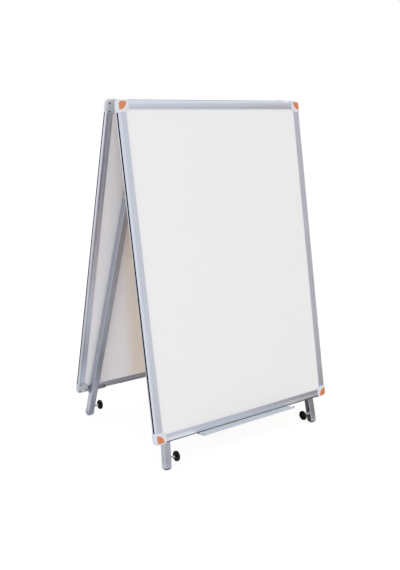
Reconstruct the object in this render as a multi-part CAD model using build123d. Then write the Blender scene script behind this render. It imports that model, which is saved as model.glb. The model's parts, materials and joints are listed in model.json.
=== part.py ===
from build123d import *
from math import cos, radians, sin, tan
import os

# A double-sided floor easel: two framed whiteboards, hinged together near the top,
# each with two telescopic legs on its back. X is the width, Z is up, and the front
# board faces -Y. The origin is on the floor, midway between the feet.

# Boards
board_width = 700.0
board_height = 1000.0
board_tilt = 12.5             # lean of each board from the vertical, in degrees
floor_clearance = 93.5        # floor to the lower front edge of a board
frame_width = 26.0
frame_depth = 17.0
front_edge_radius = 6.8
back_edge_radius = 3.0
back_flange_width = 23.0
lip_thickness = 1.8           # front lip and back flange that hold the panel
web_from_edge = 12.6          # outer face of the wall behind the panel's edge
panel_seat = 15.0             # bottom of the panel groove, from the frame's outer edge
slot_depth = 6.0              # accessory slot all round the frame's outer side
slot_width = 6.2
slot_behind_face = 7.1
slot_wall = 1.4
face_line_positions = (13.0, 22.0)
face_line_width = 1.0
face_line_depth = 0.4
back_line_position = 14.5
back_line_width = 2.0
back_line_depth = 0.8

# Panel
sheet_thickness = 0.4
back_sheet_thickness = 0.3
panel_clearance = 0.15
panel_edge_gap = 1.0

# Corner caps
cap_arm = 36.0
cap_wall = 1.8
cap_corner_radius = 13.0
cap_inner_chamfer = 8.0
sleeve_clearance = 0.1
tongue_reach = 20.0           # how far a tongue runs past the cap's end
tongue_clearance = 0.3
insert_inset = 4.0
insert_radius = 24.0
insert_corner_radius = 8.0
insert_tip_radius = 1.5
insert_thickness = 1.5
insert_seat_depth = 1.2
insert_clearance = 0.1
cap_screw_points = ((8.0, 8.0), (32.0, 9.0), (9.0, 32.0))
cap_screw_head_radius = 2.6
cap_screw_head_height = 1.2
cap_screw_radius = 1.4
cap_screw_length = 7.0

# Legs
tube_size = 22.0
tube_wall = 1.5
tube_corner_radius = 2.0
inner_tube_size = 18.0
inner_tube_length = 600.0
leg_splay = 3.75              # outward lean of each leg in the board's plane, in degrees
leg_from_board_side = 52.0     # leg's centre line to the board's side, at the lower edge
leg_below_top = 45.0          # board's upper edge to the tube's upper end
leg_pad = 3.5                 # thickness of the brackets between board and tube
tube_end_clearance = 1.5      # lowest corner of an outer tube to the floor
foot_plug_length = 25.0
foot_flange_size = 20.0       # the flange stops on the outer tube's end
foot_flange_thickness = 1.0
foot_pad_size = 16.0
foot_pad_length = 3.5
tube_plug_length = 20.0
tube_plug_flange = 2.5
slide_gap = 0.3
stop_rivet_below_top = 292.0
rivet_radius = 2.4
rivet_head_radius = 5.5
rivet_head_height = 2.5

# Clamp knobs
knob_above_tube_end = 28.5
boss_radius = 5.0
boss_length = 5.0
stud_radius = 3.0
stud_tip_gap = 0.2
running_clearance = 0.08
hub_start = 17.0              # all measured from the tube's inner side
grip_start = 22.0
grip_thickness = 7.5
grip_radius = 16.2
grip_edge = 2.0
hub_radius = 6.0
grip_recess_inner = 8.5
grip_recess_outer = 12.5
grip_recess_depth = 3.0
flute_count = 10
flute_radius = 3.0
flute_depth = 1.0
stud_in_grip = 5.0

# Hinge and brackets
hinge_from_board_side = 150.0
hinge_below_top = 57.0
hinge_standoff = 31.0         # hinge axis to each board's back
hinge_eye_radius = 9.0
hinge_pin_radius = 4.0
hinge_pin_head_radius = 7.0
hinge_pin_head_height = 2.5
tongue_thickness = 8.0
ear_thickness = 5.0
ear_gap = 0.3
stop_gap = 0.15
stop_low = 12.0               # the stop faces, above the hinge axis
stop_high = 24.0
stop_depth = 9.0
arm_root_below = 10.0         # foot of the hinge arm on its plate, below the axis
arm_root_above = 38.0
cheek_thickness = 3.0
cheek_clearance = 0.1
top_cheek_length = 26.0
top_cheek_cover = 17.0        # how much of the tube's side the cheeks cover
top_plate_margin = 3.0
saddle_height = 13.0
saddle_above_edge = 0.5
saddle_cover = 11.0
saddle_reach = 55.0           # from the leg's centre line, towards the board's middle
bracket_screw_radius = 1.6
bracket_screw_length = 7.0
bracket_screw_head_radius = 3.6
bracket_screw_head_height = 2.0
bracket_screw_from_edge = 8.0
saddle_screw_inset = 5.0
saddle_screw_spacing = 26.0
top_screw_inset = 8.0

# Pen tray
tray_length = 365.0
tray_offset = -8.0
tray_thickness = 1.5
tray_drop = 2.0               # board's lower edge to the top of the tray
tray_front = 27.0             # reach in front of the writing side
tray_back = -12.0
tray_lip_height = 5.0
tray_hook_clearance = 0.4
tray_rib_pitch = 10.0
tray_rib_width = 3.0
tray_rib_height = 0.4
tray_cap_thickness = 3.0
tray_cap_rim = 0.8

# Worked out from the sizes above
lean = radians(board_tilt)
splay = radians(leg_splay)
half_width = board_width / 2
hinge_x = half_width - hinge_from_board_side
leg_x_at_board_bottom = half_width - leg_from_board_side
leg_top = board_height - leg_below_top
stop_rivet_height = board_height - stop_rivet_below_top
half_tube = tube_size / 2
back_face = -frame_depth
plate_face = back_face - leg_pad
leg_depth = plate_face - half_tube
hinge_height = board_height - hinge_below_top
hinge_depth = back_face - hinge_standoff
bottom_edge_y = hinge_height * sin(lean) - hinge_depth * cos(lean)
tube_end = ((tube_end_clearance - floor_clearance - (leg_depth - half_tube) * sin(lean)) / cos(lean)
            + half_tube * sin(splay))
groove_front = -lip_thickness
groove_back = back_face + lip_thickness
chamber_from_edge = slot_depth + slot_wall
FRONT = -1
REAR = 1


def board_frame(facing):
    """The frame of one board: X across it, Y up it, Z out of its writing side."""
    return Plane(
        origin=(0, facing * bottom_edge_y, floor_clearance),
        x_dir=(-facing, 0, 0),
        z_dir=(0, facing * cos(lean), sin(lean)),
    )


def place(shape, facing):
    """Move a shape from its board's frame to the easel's."""
    return board_frame(facing).location * shape


def mirrored(shape):
    """The same piece for the other side of a board."""
    return shape.mirror(Plane.YZ)


def block(x_range, y_range, z_range):
    """A box between three pairs of limits."""
    sizes = [high - low for low, high in (x_range, y_range, z_range)]
    centre = [(high + low) / 2 for low, high in (x_range, y_range, z_range)]
    return Pos(*centre) * Box(*sizes)


def rod(start, direction, radius, length):
    """A cylinder from a point, along a direction."""
    plane = Plane(origin=start, z_dir=direction)
    return extrude(plane * Circle(radius), length)


def pan_head(start, direction, radius, height):
    """A screw or rivet head that stands on a face, with a rounded rim."""
    head = rod(start, direction, radius, height)
    rim = head.edges().filter_by(GeomType.CIRCLE).sort_by(Axis(start, direction))[-1]
    return fillet(rim, height * 0.6)


def rect(x_range, y_range):
    """A rectangle between two pairs of limits."""
    width = x_range[1] - x_range[0]
    height = y_range[1] - y_range[0]
    return Pos((x_range[0] + x_range[1]) / 2, (y_range[0] + y_range[1]) / 2) * Rectangle(width, height)


def band(middle, width):
    """The two limits of a width about its middle."""
    return middle - width / 2, middle + width / 2


# Frame section: X runs inward from the board's edge, Y out of the writing side.

def section_outline(grow):
    """The frame's outer outline, with its shorter back flange, enlarged by grow."""
    outline = rect((-grow, frame_width + grow), (back_face - grow, grow))
    outer_corners = outline.vertices().sort_by(Axis.X)[:2].sort_by(Axis.Y)
    outline = fillet(outer_corners[0], back_edge_radius + grow)
    front_corner = outline.vertices().group_by(Axis.Y)[-1].sort_by(Axis.X)[0]
    outline = fillet(front_corner, front_edge_radius + grow)
    notch = rect((back_flange_width + grow, frame_width + grow), (back_face - grow, groove_back - grow))
    return outline - notch


def frame_section():
    """The extrusion's section, with its slot, chamber, panel groove and fine lines."""
    slot = rect((0, slot_depth), band(-slot_behind_face, slot_width))
    chamber = rect((chamber_from_edge, web_from_edge), (groove_back, groove_front))
    groove = rect((panel_seat, frame_width), (groove_back, groove_front))
    section = section_outline(0) - slot - chamber - groove
    for position in face_line_positions:
        section -= rect(band(position, face_line_width), (-face_line_depth, 0))
    return section - rect(band(back_line_position, back_line_width), (back_face, back_face + back_line_depth))


def run_along(section, start, inward, length):
    """Extrude a frame section from a point; inward points to the board's middle."""
    heading = Vector(*inward).cross(Vector(0, 0, 1))
    plane = Plane(origin=start, x_dir=inward, z_dir=heading)
    return extrude(plane * section, length)


def frame_side(start, inward, length, shanks):
    """One side of the frame, with holes for the screws that end in it."""
    return run_along(frame_section(), (*start, 0), (*inward, 0), length) - shanks


def frame_sides(shanks):
    """The four sides, by the place that each has in the board's own frame."""
    across = board_width - 2 * frame_width
    upright = board_height - 2 * frame_width
    starts = {
        "bottom_rail": ((-half_width + frame_width, 0), (0, 1), across),
        "right_stile": ((half_width, frame_width), (-1, 0), upright),
        "top_rail": ((half_width - frame_width, board_height), (0, -1), across),
        "left_stile": ((-half_width, board_height - frame_width), (1, 0), upright),
    }
    return {name: frame_side(*side, shanks) for name, side in starts.items()}


# Panel

def panel_layer(front, thickness):
    """One layer of the panel, its front face at the depth given."""
    edge = panel_seat + panel_edge_gap
    return block(
        (-half_width + edge, half_width - edge),
        (edge, board_height - edge),
        (front - thickness, front),
    )


def panel_layers():
    """Steel writing sheet, core and backing sheet."""
    sheet_front = groove_front - panel_clearance
    core_front = sheet_front - sheet_thickness
    back_front = groove_back + panel_clearance + back_sheet_thickness
    return {
        "writing_sheet": panel_layer(sheet_front, sheet_thickness),
        "core_panel": panel_layer(core_front, core_front - back_front),
        "back_sheet": panel_layer(back_front, back_sheet_thickness),
    }


# Corner caps, modelled at a corner whose arms run along +X and +Y

def both_arms(arm_shape):
    """A shape on the arm along X, and its twin on the arm along Y."""
    twin = arm_shape.mirror(Plane(origin=(0, 0, 0), z_dir=(1, -1, 0)))
    return arm_shape + twin


def cap_blank():
    """The cap's outer form, before its seats are cut."""
    step = frame_width + cap_inner_chamfer
    outline = Polygon(
        (-cap_wall, -cap_wall), (cap_arm, -cap_wall), (cap_arm, frame_width), (step, frame_width),
        (frame_width, step), (frame_width, cap_arm), (-cap_wall, cap_arm), align=None,
    )
    outer_corner = outline.vertices().sort_by(Axis((0, 0, 0), (1, 1, 0)))[0]
    outline = fillet(outer_corner, cap_corner_radius)
    blank = extrude(Plane.XY.offset(back_face - cap_wall) * outline, frame_depth + 2 * cap_wall)
    for level, radius in ((1, front_edge_radius), (0, back_edge_radius)):
        face = blank.faces().filter_by(Axis.Z).sort_by(Axis.Z)[-level]
        rim = face.edges().filter_by(outer_edge)
        blank = fillet(rim, radius + cap_wall)
    return blank


def outer_edge(edge):
    """Whether an edge of the cap's outline lies on the board's outside."""
    middle = edge.position_at(0.5)
    return min(middle.X, middle.Y) < cap_corner_radius / 2 and max(middle.X, middle.Y) < cap_arm - 1


def arm_tongue():
    """The tongue of the arm along X, which fits in the frame's chamber."""
    return block(
        (frame_width - cap_wall, cap_arm + tongue_reach),
        (chamber_from_edge + tongue_clearance, web_from_edge - tongue_clearance),
        (groove_back + tongue_clearance, groove_front - tongue_clearance),
    )


def insert_outline(grow):
    """A quarter disc with its point at the board's corner."""
    low = insert_inset - grow
    radius = insert_radius + 2 * grow
    quarter = Pos(low, low) * Circle(radius)
    quarter &= rect((low, low + radius), (low, low + radius))
    across_corner = Axis((0, 0, 0), (1, 1, 0))
    quarter = fillet(quarter.vertices().sort_by(across_corner)[1:], insert_tip_radius)
    return fillet(quarter.vertices().sort_by(across_corner)[0], insert_corner_radius)


def cap_screw_shanks(grow):
    """The shanks of one cap's screws, enlarged for a hole."""
    head_seat = back_face - cap_wall + cap_screw_head_height
    shanks = [
        rod((x, y, head_seat), (0, 0, 1), cap_screw_radius + grow, cap_screw_length + grow)
        for x, y in cap_screw_points
    ]
    return Part() + shanks


def cap_screw_heads(grow):
    """The sunk heads of one cap's screws, enlarged for a seat."""
    outside = back_face - cap_wall
    heads = [
        rod((x, y, outside), (0, 0, 1), cap_screw_head_radius + grow, cap_screw_head_height)
        for x, y in cap_screw_points
    ]
    return Part() + heads


def corner_cap():
    """A moulded cap that sleeves over the ends of two frame sides."""
    cap = cap_blank()
    sleeve = run_along(
        section_outline(sleeve_clearance), (frame_width, 0, 0), (0, 1, 0), cap_arm - frame_width
    )
    seat_edge = panel_seat + panel_edge_gap - panel_clearance
    panel_pocket = block((seat_edge, cap_arm), (seat_edge, cap_arm), (groove_back, groove_front))
    insert_seat = extrude(
        Plane.XY.offset(cap_wall - insert_seat_depth) * insert_outline(insert_clearance),
        insert_seat_depth,
    )
    cap = cap - both_arms(sleeve) - panel_pocket + both_arms(arm_tongue()) - insert_seat
    return cap - cap_screw_shanks(running_clearance) - cap_screw_heads(running_clearance)


def corner_insert():
    """The coloured badge in a cap's face."""
    seat = cap_wall - insert_seat_depth
    insert = extrude(Plane.XY.offset(seat) * insert_outline(0), insert_thickness)
    rim = insert.faces().sort_by(Axis.Z)[-1].edges()
    return fillet(rim, 0.5)


def corner_screws():
    """The screws of one cap."""
    return cap_screw_shanks(0) + cap_screw_heads(0)


def at_corners(shape):
    """Four copies of a corner piece, one at each corner of the board."""
    corners = (
        (-half_width, 0, 0),
        (half_width, 0, 90),
        (half_width, board_height, 180),
        (-half_width, board_height, 270),
    )
    return [Pos(x, y) * Rot(0, 0, turn) * shape for x, y, turn in corners]


# Legs, modelled on the left of a board. A leg's own frame has its origin on the tube's
# centre line at the lower end, X towards the board's middle, Y up the tube.

def leg_point(height):
    """A point on the left leg's centre line, at a height measured up the board."""
    return (-leg_x_at_board_bottom + height * tan(splay), height, leg_depth)


leg_frame = Plane(origin=leg_point(tube_end), x_dir=(cos(splay), -sin(splay), 0), z_dir=(0, 0, 1))


def up_leg(height):
    """Distance up the leg's own axis, from a height measured up the board."""
    return (height - tube_end) / cos(splay)


def on_leg(shape):
    """Move a shape from the left leg's frame to the board's."""
    return leg_frame.location * shape


def square_tube(size, low, high):
    """A square tube along the leg's axis, with rounded corners and an open bore."""
    plane = Plane(origin=(0, low, 0), x_dir=(1, 0, 0), z_dir=(0, 1, 0))
    bore_size = size - 2 * tube_wall
    outside = RectangleRounded(size, size, tube_corner_radius)
    bore = RectangleRounded(bore_size, bore_size, tube_corner_radius / 2)
    return extrude(plane * (outside - bore), high - low)


def square_bar(size, low, high):
    """A solid square bar along the leg's axis, with rounded corners."""
    plane = Plane(origin=(0, low, 0), x_dir=(1, 0, 0), z_dir=(0, 1, 0))
    return extrude(plane * RectangleRounded(size, size, tube_corner_radius / 2), high - low)


def cross_hole(height, radius):
    """A hole across the whole leg."""
    return rod((-tube_size, height, 0), (1, 0, 0), radius, 2 * tube_size)


def cross_rivet(height, half_span):
    """A rivet across the leg, with a head on each side."""
    shank = rod((-half_span, height, 0), (1, 0, 0), rivet_radius, 2 * half_span)
    for side in (-1, 1):
        shank += pan_head((side * half_span, height, 0), (side, 0, 0), rivet_head_radius, rivet_head_height)
    return shank


def top_rivet_height():
    """Distance up the leg of the rivet that holds it in its top bracket."""
    return up_leg(leg_top) - top_cheek_length / 2


def outer_tube():
    """The tube that stays on the board's back."""
    tube = square_tube(tube_size, slide_gap, up_leg(leg_top))
    for height in (up_leg(stop_rivet_height), top_rivet_height()):
        tube -= cross_hole(height, rivet_radius + running_clearance)
    stud_hole = rod((0, knob_above_tube_end, 0), (1, 0, 0), stud_radius + running_clearance, tube_size)
    return tube - stud_hole


def tube_plug():
    """The plug that closes the outer tube's upper end."""
    top = up_leg(leg_top)
    stem = square_bar(tube_size - 2 * tube_wall - 2 * panel_clearance, top - tube_plug_length, top)
    plug = stem + square_bar(tube_size, top, top + tube_plug_flange)
    return plug - cross_hole(top_rivet_height(), rivet_radius + running_clearance)


def leg_rivets():
    """The stop rivet above the inner tube, and the rivet through the top bracket."""
    cheek_span = half_tube + cheek_clearance + cheek_thickness
    return [
        cross_rivet(up_leg(stop_rivet_height), half_tube),
        cross_rivet(top_rivet_height(), cheek_span),
    ]


def inner_tube():
    """The tube that slides out of the leg."""
    return square_tube(inner_tube_size, 0, inner_tube_length)


def foot():
    """A plug with a flange and a pad, before it is cut level at the floor."""
    plug_size = inner_tube_size - 2 * tube_wall - 2 * panel_clearance
    plug = square_bar(plug_size, 0, foot_plug_length)
    flange = square_bar(foot_flange_size, -foot_flange_thickness, 0)
    pad = square_bar(foot_pad_size, -foot_flange_thickness - foot_pad_length, -foot_flange_thickness)
    return plug + flange + pad


def clamp_boss():
    """The threaded boss on the tube's inner side."""
    start = (half_tube, knob_above_tube_end, 0)
    boss = rod(start, (1, 0, 0), boss_radius, boss_length)
    return boss - rod(start, (1, 0, 0), stud_radius + running_clearance, boss_length)


def knob_stud():
    """The screw that presses on the inner tube."""
    tip = inner_tube_size / 2 + stud_tip_gap
    length = half_tube + grip_start + stud_in_grip - tip
    return rod((tip, knob_above_tube_end, 0), (1, 0, 0), stud_radius, length)


def knob_grip():
    """A round fluted grip on a short hub, turned about the stud's axis."""
    hub_face = half_tube + hub_start
    back = half_tube + grip_start
    front = back + grip_thickness
    profile = Polygon(
        (hub_face, 0), (hub_face, hub_radius), (back + grip_recess_depth, grip_recess_inner),
        (back + grip_recess_depth, grip_recess_outer), (back, grip_recess_outer),
        (back, grip_radius - grip_edge), (back + grip_edge, grip_radius),
        (front - grip_edge, grip_radius), (front, grip_radius - grip_edge), (front, 0), align=None,
    )
    grip = revolve(profile, Axis.X, 360)
    flute_centre = grip_radius + flute_radius - flute_depth
    flute = rod((back, flute_centre, 0), (1, 0, 0), flute_radius, grip_thickness)
    for index in range(flute_count):
        grip -= Rot(index * 360 / flute_count, 0, 0) * flute
    stud_hole = rod((hub_face, 0, 0), (1, 0, 0), stud_radius, grip_start - hub_start + stud_in_grip)
    return Pos(0, knob_above_tube_end, 0) * (grip - stud_hole)


# Brackets on a board's back, on its left side

def leg_cradle(low, high, cover):
    """Two cheeks and a base round the tube, between two distances up the leg."""
    reach = half_tube + cheek_clearance + cheek_thickness
    cradle = block((-reach, reach), (low, high), (half_tube - cover, half_tube + leg_pad))
    return on_leg(cradle)


def tube_space():
    """The room that the brackets leave for the tube."""
    side = half_tube + cheek_clearance
    room = block((-side, side), (-tube_size, up_leg(leg_top) + tube_size), (-2 * tube_size, half_tube))
    return on_leg(room)


def bracket_screw_points():
    """Centres of the screws of the left saddle and the left top bracket."""
    saddle_end = leg_x_at_board_bottom - saddle_reach
    saddle_row = saddle_end + saddle_screw_inset
    top_edge_height = board_height - bracket_screw_from_edge
    outer, inner = top_plate_sides()
    return [
        (-saddle_row, bracket_screw_from_edge),
        (-saddle_row - saddle_screw_spacing, bracket_screw_from_edge),
        (outer + top_screw_inset, top_edge_height),
        (inner - top_screw_inset, top_edge_height),
    ]


def bracket_screw_shanks(grow):
    """The shanks of the left brackets' screws, enlarged for a hole."""
    shanks = [
        rod((x, y, plate_face), (0, 0, 1), bracket_screw_radius + grow, bracket_screw_length + grow)
        for x, y in bracket_screw_points()
    ]
    return Part() + shanks


def bracket_screws():
    """The left brackets' screws."""
    return [
        rod((x, y, plate_face), (0, 0, 1), bracket_screw_radius, bracket_screw_length)
        + pan_head((x, y, plate_face), (0, 0, -1), bracket_screw_head_radius, bracket_screw_head_height)
        for x, y in bracket_screw_points()
    ]


def lower_saddle():
    """The saddle that holds the leg to the bottom rail."""
    flange = block(
        (-leg_x_at_board_bottom, -leg_x_at_board_bottom + saddle_reach),
        (saddle_above_edge, saddle_above_edge + saddle_height),
        (plate_face, back_face),
    )
    low = up_leg(saddle_above_edge)
    saddle = flange + leg_cradle(low, low + saddle_height, saddle_cover)
    return saddle - tube_space() - bracket_screw_shanks(running_clearance)


def hinge_point(across, above):
    """A point near the hinge, from its axis: across to the other board, and above it."""
    return (
        hinge_height + across * sin(lean) + above * cos(lean),
        hinge_depth - across * cos(lean) + above * sin(lean),
    )


def arm_outline():
    """The hinge arm's outline, in the heights and depths of the board's frame."""
    arm = Polygon(
        (hinge_height + arm_root_above, plate_face),
        (hinge_height - arm_root_below, plate_face),
        (hinge_height - hinge_eye_radius, hinge_depth),
        (hinge_height, hinge_depth),
        hinge_point(-stop_gap, stop_low),
        hinge_point(-stop_gap, stop_high),
        align=None,
    )
    return arm + Pos(hinge_height, hinge_depth) * Circle(hinge_eye_radius)


def stop_outline():
    """The web between two ears that the other arm meets when the easel is open."""
    return Polygon(
        hinge_point(-stop_gap, stop_low),
        hinge_point(-stop_gap, stop_high),
        hinge_point(-stop_depth, stop_high),
        hinge_point(-stop_depth, stop_low),
        align=None,
    )


def across_board(outline, x_range):
    """Extrude an outline of heights and depths across the board."""
    plane = Plane(origin=(x_range[0], 0, 0), x_dir=(0, 1, 0), z_dir=(1, 0, 0))
    return extrude(plane * outline, x_range[1] - x_range[0])


def hinge_arms(forked):
    """One tongue, or two ears with a stop web between them."""
    half_tongue = tongue_thickness / 2
    if not forked:
        return across_board(arm_outline(), (-hinge_x - half_tongue, -hinge_x + half_tongue))
    inside = half_tongue + ear_gap
    outside = inside + ear_thickness
    ears = across_board(arm_outline(), (-hinge_x - outside, -hinge_x - inside))
    ears += across_board(arm_outline(), (-hinge_x + inside, -hinge_x + outside))
    return ears + across_board(stop_outline(), (-hinge_x - inside, -hinge_x + inside))


def hinge_rod(radius, half_length):
    """A cylinder on the hinge axis, centred on the left hinge."""
    start = (-hinge_x - half_length, hinge_height, hinge_depth)
    return rod(start, (1, 0, 0), radius, 2 * half_length)


def top_plate_sides():
    """The outer and inner sides of the left top bracket's plate."""
    outer = leg_point(leg_top - top_cheek_length)[0] - half_tube - cheek_thickness - top_plate_margin
    inner = -hinge_x + tongue_thickness / 2 + ear_gap + ear_thickness
    return outer, inner


def top_bracket(forked):
    """The bracket that joins the top rail, the leg's upper end and the hinge."""
    outer, inner = top_plate_sides()
    plate = block(
        (outer, inner),
        (hinge_height - arm_root_below, board_height - top_plate_margin),
        (plate_face, back_face),
    )
    high = up_leg(leg_top)
    bracket = plate + leg_cradle(high - top_cheek_length, high, top_cheek_cover) + hinge_arms(forked)
    bracket -= hinge_rod(hinge_pin_radius + running_clearance, 2 * tongue_thickness)
    bracket -= on_leg(cross_hole(top_rivet_height(), rivet_radius + running_clearance))
    return bracket - tube_space() - bracket_screw_shanks(running_clearance)


def hinge_pin():
    """The left hinge's pin, with a head at each end."""
    half_length = tongue_thickness / 2 + ear_gap + ear_thickness + ear_gap
    pin = hinge_rod(hinge_pin_radius, half_length)
    for side in (-1, 1):
        start = (-hinge_x + side * half_length, hinge_height, hinge_depth)
        pin += pan_head(start, (side, 0, 0), hinge_pin_head_radius, hinge_pin_head_height)
    return pin


# Pen tray, across the lower edge of a board. Its section has depths and heights.

def tray_section():
    """A shelf with a hook for the frame's slot and a lip along its front."""
    shelf_top = -tray_drop
    shelf = rect((tray_back, tray_front), (shelf_top - tray_thickness, shelf_top))
    lip = rect((tray_front - tray_thickness, tray_front), (shelf_top, shelf_top + tray_lip_height))
    hook = rect(
        band(-slot_behind_face, slot_width - 2 * tray_hook_clearance),
        (shelf_top, slot_depth - tray_hook_clearance),
    )
    return shelf + lip + hook


def tray_run(section, x_range):
    """Extrude a section of depths and heights across the board."""
    plane = Plane(origin=(x_range[0], 0, 0), x_dir=(0, 0, 1), z_dir=(-1, 0, 0))
    return extrude(plane * section, x_range[0] - x_range[1])


def pen_tray():
    """The tray, with low ribs across its shelf."""
    left = tray_offset - tray_length / 2
    tray = tray_run(tray_section(), (left, left + tray_length))
    rib_count = int((tray_length - tray_rib_pitch) / tray_rib_pitch)
    first = tray_offset - tray_rib_pitch * (rib_count - 1) / 2
    ribs = [
        block(
            band(first + index * tray_rib_pitch, tray_rib_width),
            (-tray_drop, -tray_drop + tray_rib_height),
            (tray_drop, tray_front - tray_thickness),
        )
        for index in range(rib_count)
    ]
    return tray + ribs


def tray_end_caps():
    """A cap on each end of the tray."""
    shelf_top = -tray_drop
    section = rect(
        (tray_back, tray_front + tray_cap_rim),
        (shelf_top - tray_thickness - tray_cap_rim, shelf_top + tray_cap_rim),
    )
    section += rect(
        (tray_front - tray_thickness - tray_cap_rim, tray_front + tray_cap_rim),
        (shelf_top - tray_thickness, shelf_top + tray_lip_height + tray_cap_rim),
    )
    left = tray_offset - tray_length / 2
    right = tray_offset + tray_length / 2
    return [
        tray_run(section, (left - tray_cap_thickness, left)),
        tray_run(section, (right, right + tray_cap_thickness)),
    ]


# The whole easel

def side_name(local_side, facing):
    """Left or right as seen from the easel's front; local_side is -1 on a board's own left."""
    return "left" if local_side * facing > 0 else "right"


def pair(shape):
    """A left piece and its twin on the right."""
    return [shape, mirrored(shape)]


def board_nodes(facing):
    """Every node that is fixed to one board, in the board's frame."""
    forked = facing == FRONT
    caps_shanks = at_corners(cap_screw_shanks(running_clearance))
    bracket_shanks = pair(bracket_screw_shanks(running_clearance))
    sides = frame_sides(Part() + caps_shanks + bracket_shanks)
    own_left = side_name(-1, facing)
    own_right = side_name(1, facing)
    nodes = {
        "top_rail": sides["top_rail"],
        "bottom_rail": sides["bottom_rail"],
        own_left + "_stile": sides["left_stile"],
        own_right + "_stile": sides["right_stile"],
        own_left + "_leg_tube": on_leg(outer_tube()),
        own_right + "_leg_tube": mirrored(on_leg(outer_tube())),
        "corner_caps": at_corners(corner_cap()),
        "corner_inserts": at_corners(corner_insert()),
        "corner_screws": at_corners(corner_screws()),
        "top_brackets": pair(top_bracket(forked)),
        "lower_saddles": pair(lower_saddle()),
        "bracket_screws": sum((pair(screw) for screw in bracket_screws()), []),
        "leg_rivets": sum((pair(on_leg(rivet)) for rivet in leg_rivets()), []),
        "clamp_bosses": pair(on_leg(clamp_boss())),
        "tube_plugs": pair(on_leg(tube_plug())),
        "pen_tray": pen_tray(),
        "tray_end_caps": tray_end_caps(),
    }
    nodes.update(panel_layers())
    return nodes


def leg_nodes():
    """Every node that moves on one leg, on the left of a board, in the board's frame."""
    return {
        "inner_tube": on_leg(inner_tube()),
        "foot": on_leg(foot()),
        "knob_grip": on_leg(knob_grip()),
        "knob_stud": on_leg(knob_stud()),
    }


def save(name, shape, facing):
    """Place one node and write it, as one solid or as a group of solids."""
    pieces = shape if isinstance(shape, list) else [shape]
    solids = [solid for piece in pieces for solid in place(piece, facing).solids()]
    node = solids[0] if len(solids) == 1 else Compound(children=solids)
    export_step(node, f"parts/{name}.step")


def level_feet(shape, facing):
    """Cut a foot level with the floor, in its board's frame."""
    below = Pos(0, 0, -board_height / 2) * Box(2 * board_width, 2 * board_height, board_height)
    return shape - board_frame(facing).location.inverse() * below


os.makedirs("parts", exist_ok=True)
for board_name, facing in (("front", FRONT), ("rear", REAR)):
    for node_name, shape in board_nodes(facing).items():
        save(f"{board_name}_{node_name}", shape, facing)
    for node_name, shape in leg_nodes().items():
        for local_side, piece in zip((-1, 1), pair(shape)):
            finished = level_feet(piece, facing) if node_name == "foot" else piece
            save(f"{board_name}_{side_name(local_side, facing)}_{node_name}", finished, facing)
save("hinge_pins", pair(hinge_pin()), FRONT)
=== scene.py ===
import json
from math import cos, pi, radians, sin

import bmesh
import bpy
from bpy.props import FloatProperty, FloatVectorProperty, IntProperty, PointerProperty
from mathutils import Matrix, Vector


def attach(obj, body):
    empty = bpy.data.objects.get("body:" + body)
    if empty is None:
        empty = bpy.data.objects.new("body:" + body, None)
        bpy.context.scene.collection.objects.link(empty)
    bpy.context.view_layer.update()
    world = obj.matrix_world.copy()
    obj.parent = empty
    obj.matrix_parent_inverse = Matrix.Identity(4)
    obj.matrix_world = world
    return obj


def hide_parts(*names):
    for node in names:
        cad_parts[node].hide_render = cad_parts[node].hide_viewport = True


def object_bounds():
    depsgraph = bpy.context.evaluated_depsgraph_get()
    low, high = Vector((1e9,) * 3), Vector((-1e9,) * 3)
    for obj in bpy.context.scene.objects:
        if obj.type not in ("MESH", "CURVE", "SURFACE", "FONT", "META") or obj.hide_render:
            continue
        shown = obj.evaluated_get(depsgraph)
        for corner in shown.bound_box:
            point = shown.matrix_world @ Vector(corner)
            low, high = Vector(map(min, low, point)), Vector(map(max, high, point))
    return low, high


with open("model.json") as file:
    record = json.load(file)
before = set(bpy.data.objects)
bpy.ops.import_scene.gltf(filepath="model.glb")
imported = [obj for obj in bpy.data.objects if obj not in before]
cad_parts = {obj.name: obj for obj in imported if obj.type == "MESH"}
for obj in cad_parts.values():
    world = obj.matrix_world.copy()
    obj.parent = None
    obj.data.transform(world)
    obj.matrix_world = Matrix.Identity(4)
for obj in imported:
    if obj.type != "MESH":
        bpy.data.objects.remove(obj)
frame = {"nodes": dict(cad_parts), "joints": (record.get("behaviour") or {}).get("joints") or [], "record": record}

# The looks of a double-sided folding whiteboard easel: metals, plastics, enamel and rubber for the
# frame's own parts, rivets among them, and finer screws, studs, knobs and badges in their places.

bl_info = {
    "name": "Whiteboard Easel",
    "version": (1, 0, 0),
    "blender": (4, 5, 0),
    "location": "3D View > Sidebar > Easel",
    "description": "Finishes and fine hardware for a folding whiteboard easel",
    "category": "Object",
}

MM = 0.001
BOARDS = ("front", "rear")
SIDES = ("left", "right")
UP = Vector((0, 0, 1))
NEARLY_NONE = 1e-3
NOISE_ROUGHNESS = 0.55
FRAME_ROUGHNESS = 0.36
FLOOR_HALF_WIDTH = 30

# Margins: for what lies on a surface, and for what lies just under one
HAIR = 0.1 * MM
SKIN = 0.5 * MM

# Painted light on each frame side: the brightness of its outer band, a painted sheen, how much
# duller its inner band is and how much darker the lip of its slot is, both painted shade
FRAME_PAINTED_TONES = {"stile": (1.0, 0.05, 0.0), "top": (1.06, 0.18, 0.0), "bottom": (1.24, 0.30, 0.92)}
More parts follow.
